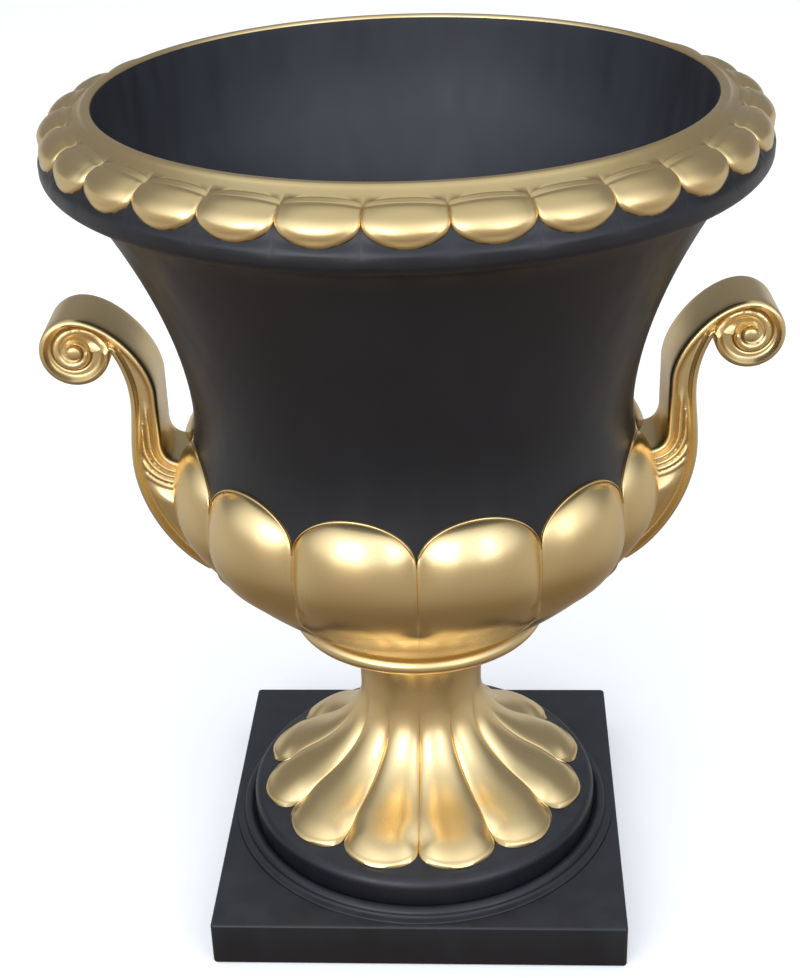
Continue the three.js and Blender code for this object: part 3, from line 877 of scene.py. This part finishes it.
def add_node(tree, kind, inputs=None, output=0, **settings):
    """Adds a node with its settings and inputs, and returns one of its outputs"""
    node = tree.nodes.new(kind)
    for name, value in settings.items():
        setattr(node, name, value)
    set_inputs(tree, node, inputs or {})
    return node.outputs[output]


def calculate(tree, operation, *values, **settings):
    """Result of a math node"""
    return add_node(tree, "ShaderNodeMath", dict(enumerate(values)), operation=operation, **settings)


def mix_colour(tree, share, first, second):
    """Mix of two colours, each an output of a node or a plain colour"""
    first, second = (c if isinstance(c, bpy.types.NodeSocket) else (*c, 1) for c in (first, second))
    # The node's two colours come after its numbers and its vectors
    return add_node(tree, "ShaderNodeMix", {0: share, 6: first, 7: second}, 2, data_type="RGBA")


def remap(tree, value, low, high):
    """Spreads a 0 to 1 value over low to high"""
    return add_node(tree, "ShaderNodeMapRange", {"Value": value, "To Min": low, "To Max": high})


def soft_step(tree, value, low, high):
    """0 at low, 1 at high, and a smooth rise between"""
    inputs = {"Value": value, "From Min": low, "From Max": high}
    return add_node(tree, "ShaderNodeMapRange", inputs, interpolation_type="SMOOTHSTEP")


def node_group(name, kind, inputs, outputs, build):
    """A node group with named sockets, built the first time that it is asked for"""
    if name in bpy.data.node_groups:
        return bpy.data.node_groups[name]
    tree = bpy.data.node_groups.new(name, kind)
    for label, sort, settings in inputs:
        socket = tree.interface.new_socket(label, in_out="INPUT", socket_type="NodeSocket" + sort)
        for key, value in settings.items():
            setattr(socket, key, value)
    for label, sort in outputs:
        tree.interface.new_socket(label, in_out="OUTPUT", socket_type="NodeSocket" + sort)
    results = build(tree, tree.nodes.new("NodeGroupInput").outputs)
    set_inputs(tree, tree.nodes.new("NodeGroupOutput"), dict(enumerate(results)))
    return tree


# Meshes


def new_piece(name, points, faces, gilded, place=(0, 0, 0)):
    """A mesh object from points in millimetres, with its gilded faces marked"""
    mesh = bpy.data.meshes.new(name)
    mesh.from_pydata((np.asarray(points) + np.array(place)) * MM, [], faces)
    mark = mesh.attributes.new("gilded", "BOOLEAN", "FACE")
    mark.data.foreach_set("value", np.asarray(gilded, bool))
    piece = bpy.data.objects.new(name, mesh)
    bpy.context.scene.collection.objects.link(piece)
    return piece


def build_copies(tree, given):
    """Sets copies of a part around the axis, welds them and gives them their finishes"""
    pitch = calculate(tree, "DIVIDE", 2 * math.pi, given["Copies"])
    index = add_node(tree, "GeometryNodeInputIndex")
    angle = calculate(tree, "MULTIPLY_ADD", index, pitch, given["Turn"])
    vector = add_node(tree, "ShaderNodeCombineXYZ", {"Z": angle})
    turned = add_node(tree, "FunctionNodeEulerToRotation", {0: vector})
    points = add_node(tree, "GeometryNodePoints", {"Count": given["Copies"]})
    placing = {"Points": points, "Instance": given["Geometry"], "Rotation": turned}
    copies = add_node(tree, "GeometryNodeInstanceOnPoints", placing)
    whole = add_node(tree, "GeometryNodeRealizeInstances", {0: copies})
    welded = add_node(tree, "GeometryNodeMergeByDistance", {"Geometry": whole, "Distance": given["Weld"]})
    shaded = add_node(tree, "GeometryNodeSetShadeSmooth", {0: welded})
    black = add_node(tree, "GeometryNodeSetMaterial", {"Geometry": shaded, "Material": given["Black"]})
    mark = {"Name": "gilded"}
    gilded = add_node(tree, "GeometryNodeInputNamedAttribute", mark, "Attribute", data_type="BOOLEAN")
    gilding = {"Geometry": black, "Selection": gilded, "Material": given["Gold"]}
    return [add_node(tree, "GeometryNodeSetMaterial", gilding)]


def set_around(piece, copies, turn):
    """Replaces a piece's mesh by its copies around the axis, as a plain mesh in its two finishes"""
    inputs = [
        ("Geometry", "Geometry", {}),
        ("Copies", "Int", {"default_value": 1}),
        ("Turn", "Float", {"subtype": "ANGLE"}),
        ("Weld", "Float", {"subtype": "DISTANCE", "default_value": WELD_DISTANCE}),
        ("Black", "Material", {}),
        ("Gold", "Material", {}),
    ]
    tree = node_group("Turned copies", "GeometryNodeTree", inputs, [("Geometry", "Geometry")], build_copies)
    modifier = piece.modifiers.new("Turned copies", "NODES")
    modifier.node_group = tree
    black = finish("black lacquer", 7, 1100, paint_black)
    gold = finish("gilding", 14, 1400, paint_gold)
    given = {"Copies": copies, "Turn": turn, "Weld": WELD_DISTANCE, "Black": black, "Gold": gold}
    for socket in tree.interface.items_tree:
        if socket.in_out == "INPUT" and socket.name in given:
            modifier[socket.identifier] = given[socket.name]
    depsgraph = bpy.context.evaluated_depsgraph_get()
    depsgraph.update()
    mesh = bpy.data.meshes.new_from_object(piece.evaluated_get(depsgraph))
    piece.modifiers.remove(modifier)
    sector = piece.data
    piece.data = mesh
    bpy.data.meshes.remove(sector)
    mesh.name = piece.name
    beside = read_items(mesh.loops, "edge_index", 1, np.int32).ravel()
    if (np.bincount(beside, minlength=len(mesh.edges)) != 2).any():
        raise RuntimeError(f"The mesh of {mesh.name} is not closed")
    mesh.set_sharp_from_angle(angle=SHARP_ANGLE)
    mark_relief(mesh)


def read_items(items, name, width, kind=float):
    """One property of all the items of a mesh, as rows of numbers"""
    values = np.empty(len(items) * width, kind)
    items.foreach_get(name, values)
    return values.reshape(-1, width)


# Bend per metre at which a ridge or hollow counts in full, the most that is believed, and smoothing rounds
FULL_BEND = 420
BEND_LIMIT = 900
BEND_ROUNDS = 4


def mark_relief(mesh):
    """Stores how far each point lies on a ridge or in a hollow, which the finishes read for rubbing with
    painted highlights and for painted shade
    """
    count = len(mesh.vertices)
    points = read_items(mesh.vertices, "co", 3)
    normals = read_items(mesh.vertices, "normal", 3)
    a, b = read_items(mesh.edges, "vertices", 2, np.int32).T
    along = points[b] - points[a]
    length = np.maximum(np.sqrt((along**2).sum(1)), 1e-6)
    bend_a = -2 * (normals[a] * along).sum(1) / length**2
    bend_b = 2 * (normals[b] * along).sum(1) / length**2
    total = np.bincount(a, bend_a * length, count) + np.bincount(b, bend_b * length, count)
    weight = np.bincount(a, length, count) + np.bincount(b, length, count)
    bend = np.clip(total / np.maximum(weight, 1e-9), -BEND_LIMIT, BEND_LIMIT)
    near = np.bincount(a, minlength=count) + np.bincount(b, minlength=count)
    for _ in range(BEND_ROUNDS):
        shared = np.bincount(a, bend[b], count) + np.bincount(b, bend[a], count)
        bend = (bend + shared / np.maximum(near, 1)) / 2
    for name, values in (("ridge", bend / FULL_BEND), ("hollow", -bend / FULL_BEND)):
        attribute = mesh.attributes.new(name, "FLOAT", "POINT")
        attribute.data.foreach_set("value", np.clip(values, 0, 1).astype(np.float32))


# Finishes

# Dust on the black lacquer, bluish as a painted sheen on level and inward faces
DUST_AND_SHEEN = (0.15, 0.16, 0.185)


def build_clouds(tree, given):
    """Slow, soft variation, faint streaks and fine grain over a surface"""
    place = add_node(tree, "ShaderNodeTexCoord", output="Object")
    drawn_out = add_node(tree, "ShaderNodeMapping", {"Vector": place, "Scale": (1, 1, 0.25)})
    results = []
    for vector, scale, detail in (
        (place, given["Cloud Scale"], 1),
        (drawn_out, 60, 1),
        (place, given["Grain Scale"], 2),
    ):
        noise = add_node(tree, "ShaderNodeTexNoise", {"Vector": vector, "Scale": scale, "Detail": detail})
        spread = {"Value": noise, "From Min": 0.3, "From Max": 0.7}
        results.append(add_node(tree, "ShaderNodeMapRange", spread, clamp=False))
    return results


def build_wear_and_light(tree, given):
    """Masks for ridges rubbed and lit by a painted highlight, for hollows with painted shade, and for dust
    with a painted sheen, broken up by noise
    """
    ridge, hollow = (
        add_node(tree, "ShaderNodeAttribute", output="Fac", attribute_name=name)
        for name in ("ridge", "hollow")
    )
    broken = calculate(tree, "MULTIPLY_ADD", given["Break Up"], 1.4, -0.35)
    # Ridges are rubbed, and lighter there as a painted highlight
    rubbed_and_highlit = calculate(tree, "MULTIPLY", ridge, broken)
    rubbed_and_highlit = calculate(tree, "MULTIPLY", rubbed_and_highlit, given["Amount"], use_clamp=True)

    # Dust, with a bluish painted sheen, lies on level faces and on those that look in toward the axis
    normal = add_node(tree, "ShaderNodeTexCoord", output="Normal")
    upward = soft_step(tree, add_node(tree, "ShaderNodeSeparateXYZ", {0: normal}, "Z"), 0.6, 1.0)
    place = add_node(tree, "ShaderNodeTexCoord", output="Object")
    level = add_node(tree, "ShaderNodeVectorMath", {0: place, 1: (1, 1, 0)}, operation="MULTIPLY")
    outwards = add_node(tree, "ShaderNodeVectorMath", {0: level}, operation="NORMALIZE")
    both = {0: outwards, 1: normal}
    facing = add_node(tree, "ShaderNodeVectorMath", both, "Value", operation="DOT_PRODUCT")
    up_or_inward = calculate(tree, "MAXIMUM", upward, soft_step(tree, facing, -0.1, -0.8))
    dust_and_sheen = calculate(tree, "MULTIPLY", up_or_inward, remap(tree, given["Break Up"], 0.7, 1.0))
    return rubbed_and_highlit, hollow, dust_and_sheen


def shader_group(name, defaults, outputs, build):
    """A shader group whose inputs and outputs are all plain numbers"""
    inputs = [(label, "Float", {"default_value": value}) for label, value in defaults.items()]
    return node_group(name, "ShaderNodeTree", inputs, [(label, "Float") for label in outputs], build)


def finish(name, cloud_scale, grain_scale, paint):
    """A material, made the first time that it is asked for: clouds, and wear with painted light, joined by
    its paint
    """
    if name in bpy.data.materials:
        return bpy.data.materials[name]
    scales = {"Cloud Scale": 9.0, "Grain Scale": 900.0}
    clouds = shader_group("Cloud and grain", scales, ("Cloud", "Streak", "Grain"), build_clouds)
    masks = {"Amount": 0.5, "Break Up": 0.5}
    edges = shader_group("Edge marks and painted light", masks, ("Rubbed and Highlit", "Hollow", "Dust and Sheen"), build_wear_and_light)
    colours = bpy.context.scene.urn_finish
    material = bpy.data.materials.new(name)
    material.use_nodes = True
    tree = material.node_tree
    scales = {"Cloud Scale": cloud_scale, "Grain Scale": grain_scale}
    cloud = add_node(tree, "ShaderNodeGroup", scales, node_tree=clouds).node.outputs
    inputs = {"Amount": colours.wear_and_light, "Break Up": cloud["Streak"]}
    wear_and_light = add_node(tree, "ShaderNodeGroup", inputs, node_tree=edges).node.outputs
    inputs, layers = paint(tree, cloud, wear_and_light, colours)

    # Bump layers are stacked, each on the normal of the one before
    layer = {}
    for height, strength, distance in layers:
        layer |= {"Height": height, "Strength": strength, "Distance": distance}
        layer["Normal"] = add_node(tree, "ShaderNodeBump", layer)
    inputs["Normal"] = layer["Normal"]
    set_inputs(tree, tree.nodes["Principled BSDF"], inputs)
    return material


def paint_gold(tree, cloud, wear_and_light, colours):
    """Satin gilding, darkened in its hollows as painted shade, and bright on its ridges as rubbing with a
    painted highlight
    """
    patch = remap(tree, cloud["Cloud"], 0, 0.35)
    base = mix_colour(tree, patch, colours.gold, colours.gold_shade)
    # Painted shade: the gilding is darkened in its hollows and creases
    dark = [c * 0.45 for c in colours.gold_shade]
    hollow_shaded = mix_colour(tree, remap(tree, wear_and_light["Hollow"], 0, 0.85), base, dark)
    # Painted highlight: ridges are brighter gold, where the gilding is also rubbed
    bright = [min(1, c * 1.15) for c in colours.gold]
    rubbed_and_highlit = mix_colour(tree, wear_and_light["Rubbed and Highlit"], hollow_shaded, bright)
    clouded, hollowed = remap(tree, cloud["Cloud"], 0.24, 0.34), remap(tree, wear_and_light["Hollow"], 0, 0.12)
    rough = calculate(tree, "ADD", clouded, hollowed)
    layers = [(cloud["Cloud"], 0.10, 0.004), (cloud["Streak"], 0.05, 0.001), (cloud["Grain"], 0.04, 0.0002)]
    return {"Base Color": rubbed_and_highlit, "Metallic": 1, "Roughness": rough}, layers


def paint_black(tree, cloud, wear_and_light, colours):
    """Satin black lacquer, rubbed thin on its edges and lighter there as a painted highlight, with a breath
    of dust tinted blue as a painted sheen
    """
    lighter = [c * 1.5 for c in colours.black]
    base = mix_colour(tree, cloud["Cloud"], colours.black, lighter)
    # Painted highlight: edges are lighter, where the lacquer is also rubbed thin
    rubbed_and_highlit = mix_colour(tree, wear_and_light["Rubbed and Highlit"], base, colours.black_worn_and_highlit)
    # Dust, tinted blue as a painted sheen of the sky on level and inward faces
    dusty_and_sheened = mix_colour(tree, remap(tree, wear_and_light["Dust and Sheen"], 0, 0.15), rubbed_and_highlit, DUST_AND_SHEEN)
    streaked, dulled = remap(tree, cloud["Streak"], 0.36, 0.44), remap(tree, wear_and_light["Dust and Sheen"], 0, 0.1)
    rough = calculate(tree, "ADD", streaked, dulled)
    layers = [(cloud["Cloud"], 0.08, 0.003), (cloud["Grain"], 0.06, 0.0002)]
    return {"Base Color": dusty_and_sheened, "Metallic": 0, "Roughness": rough}, layers


# Operators


class URN_OT_bowl(bpy.types.Operator):
    """Make the bowl with its lobed rim and its row of large lobes"""

    bl_idname = "urn.bowl"
    bl_label = "Bowl"

    def execute(self, context):
        points, faces, gilded = skin(bowl_rows(context.scene.urn_bowl))
        piece = new_piece("bowl_cast", points, faces, gilded, (0, 0, BOWL_BOTTOM))
        set_around(piece, BOWL_SECTORS, BOWL_TURN)
        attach(piece, "root")
        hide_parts("bowl")
        return {"FINISHED"}


class URN_OT_pedestal(bpy.types.Operator):
    """Make the pedestal: plinth, round base, petals and neck"""

    bl_idname = "urn.pedestal"
    bl_label = "Pedestal"

    def execute(self, context):
        points, faces, gilded = skin(pedestal_rows(context.scene.urn_foot))
        piece = new_piece("pedestal_cast", points, faces, gilded)
        set_around(piece, PEDESTAL_SECTORS, 0)
        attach(piece, "root")
        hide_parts("pedestal")
        return {"FINISHED"}


class URN_OT_handles(bpy.types.Operator):
    """Make the two scroll handles"""

    bl_idname = "urn.handles"
    bl_label = "Handles"

    def execute(self, context):
        points, faces = handle_mesh_data(context.scene.urn_handles)
        gilded = [True] * len(faces)
        for side, turn in (("right", 0), ("left", math.pi)):
            piece = new_piece(f"handle_{side}_cast", points, faces, gilded, (0, 0, BOWL_BOTTOM))
            set_around(piece, 1, BOWL_TURN + turn)
            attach(piece, "root")
            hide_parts(f"handle_{side}")
        return {"FINISHED"}


# Camera, measured from the photograph: its place, the way it looks, and how far it is rolled
CAMERA_PLACE = Vector((0.0554, -1.0907, 0.8874))
CAMERA_LOOK = Vector((-0.0540, 0.8830, -0.4664))
CAMERA_ROLL = -0.0337
CAMERA_LENS = 63.33
SENSOR_WIDTH = 36

# Lamps that face the bowl: name, place, size and power. The fill lights the floor and isn't mirrored.
AIM = Vector((0, 0, 0.4))
LAMPS = (
    ("window", (-0.85, -2.0, 1.0), (1.5, 1.1), 14),
    ("second window", (1.3, -1.8, 1.0), (0.8, 1.1), 5),
    ("fill", (0, 0, 3.2), (5, 5), 40),
)
FLOOR_HALF = 6
FLOOR_DROP = 0.0003
FLOOR_GLOW = 0.25


def add_camera():
    """The camera at the photograph's angle"""
    data = bpy.data.cameras.new("camera")
    data.lens = CAMERA_LENS
    data.sensor_width = SENSOR_WIDTH
    look = CAMERA_LOOK.normalized()
    level = look.cross(Vector((0, 0, 1))).normalized()
    rise = level.cross(look)
    right = math.cos(CAMERA_ROLL) * level + math.sin(CAMERA_ROLL) * rise
    up = math.cos(CAMERA_ROLL) * rise - math.sin(CAMERA_ROLL) * level
    camera = bpy.data.objects.new("camera", data)
    camera.matrix_world = Matrix((
        (right.x, up.x, -look.x, CAMERA_PLACE.x),
        (right.y, up.y, -look.y, CAMERA_PLACE.y),
        (right.z, up.z, -look.z, CAMERA_PLACE.z),
        (0, 0, 0, 1),
    ))
    bpy.context.scene.collection.objects.link(camera)
    bpy.context.scene.camera = camera


def add_softbox(name, place, size, power):
    """A soft rectangular lamp that faces the bowl"""
    data = bpy.data.lights.new(name, "AREA")
    data.shape = "RECTANGLE"
    data.size, data.size_y = size
    data.energy = power
    lamp = bpy.data.objects.new(name, data)
    lamp.location = place
    lamp.rotation_euler = (AIM - Vector(place)).to_track_quat("-Z", "Y").to_euler()
    lamp.visible_glossy = name != "fill"
    bpy.context.scene.collection.objects.link(lamp)


# The room by direction: the ground from straight below out to the horizon, and the air above it
NEAR_GROUND = (0.23, 0.185, 0.145)
FAR_GROUND = (0.46, 0.43, 0.40)
BACK_GROUND = (0.60, 0.60, 0.60)
FRONT_AIR = (1.40, 1.52, 1.78)
BACK_AIR = (0.26, 0.27, 0.29)
OVERHEAD_AIR = (0.70, 0.76, 0.84)


def add_world():
    """Soft daylight from the front, a dimmer ceiling and back, and a ground that darkens under the pot"""
    world = bpy.data.worlds.new("room")
    bpy.context.scene.world = world
    world.use_nodes = True
    tree = world.node_tree
    place = add_node(tree, "ShaderNodeTexCoord", output="Generated")
    split = add_node(tree, "ShaderNodeSeparateXYZ", {0: place}).node.outputs
    front = soft_step(tree, split["Y"], 0.35, -0.65)
    air = mix_colour(tree, front, BACK_AIR, FRONT_AIR)
    sky = mix_colour(tree, soft_step(tree, split["Z"], 0.62, 0.95), air, OVERHEAD_AIR)
    edge = mix_colour(tree, front, BACK_GROUND, FAR_GROUND)
    ground = mix_colour(tree, soft_step(tree, split["Z"], -0.85, -0.3), NEAR_GROUND, edge)
    room = mix_colour(tree, soft_step(tree, split["Z"], -0.06, 0.12), ground, sky)
    # The camera itself sees a plain white backdrop
    seen = add_node(tree, "ShaderNodeLightPath", output="Is Camera Ray")
    set_inputs(tree, tree.nodes["Background"], {"Color": mix_colour(tree, seen, room, (1, 1, 1))})


class URN_OT_stage(bpy.types.Operator):
    """Set up the floor, the soft lamps and the camera"""

    bl_idname = "urn.stage"
    bl_label = "Stage"

    def execute(self, context):
        settings = context.scene.urn_stage
        corners = [(x * FLOOR_HALF, y * FLOOR_HALF, 0) for x, y in ((-1, -1), (1, -1), (1, 1), (-1, 1))]
        mesh = bpy.data.meshes.new("floor")
        mesh.from_pydata(corners, [], [(0, 1, 2, 3)])
        floor = bpy.data.objects.new("floor", mesh)
        floor.location.z = -FLOOR_DROP
        material = bpy.data.materials.new("studio floor")
        material.use_nodes = True
        pale = (*settings.floor, 1)
        tree = material.node_tree
        set_inputs(tree, tree.nodes["Principled BSDF"], {
            "Base Color": pale,
            "Roughness": 0.9,
            "Specular IOR Level": 0.1,
            "Emission Color": pale,
            "Emission Strength": FLOOR_GLOW,
        })
        mesh.materials.append(material)
        context.scene.collection.objects.link(floor)
        floor.visible_glossy = False

        for name, place, size, power in LAMPS:
            add_softbox(name, place, size, power * settings.light)
        add_world()
        add_camera()
        context.scene.view_settings.view_transform = "Standard"
        return {"FINISHED"}


class URN_PT_panel(bpy.types.Panel):
    """Lists the steps that make the urn"""

    bl_label = "Urn planter"
    bl_idname = "URN_PT_panel"
    bl_space_type = "VIEW_3D"
    bl_region_type = "UI"
    bl_category = "Urn"

    def draw(self, context):
        layout = self.layout
        for operator in (URN_OT_bowl, URN_OT_pedestal, URN_OT_handles, URN_OT_stage):
            layout.operator(operator.bl_idname)
        for name in SETTINGS:
            group = getattr(context.scene, name)
            for item in group.bl_rna.properties:
                if item.identifier not in ("rna_type", "name"):
                    layout.prop(group, item.identifier)


SETTINGS = {
    "urn_bowl": UrnBowlSizes,
    "urn_foot": UrnFootSizes,
    "urn_handles": UrnHandleSizes,
    "urn_finish": UrnFinish,
    "urn_stage": UrnStage,
}
CLASSES = (*SETTINGS.values(), URN_OT_bowl, URN_OT_pedestal, URN_OT_handles, URN_OT_stage, URN_PT_panel)


def register():
    for cls in CLASSES:
        bpy.utils.register_class(cls)
    for name, cls in SETTINGS.items():
        setattr(bpy.types.Scene, name, PointerProperty(type=cls))


def unregister():
    for name in SETTINGS:
        delattr(bpy.types.Scene, name)
    for cls in reversed(CLASSES):
        bpy.utils.unregister_class(cls)


def main():
    register()
    bpy.ops.urn.bowl()
    bpy.ops.urn.pedestal()
    bpy.ops.urn.handles()
    bpy.ops.urn.stage()


if __name__ == "__main__":
    main()
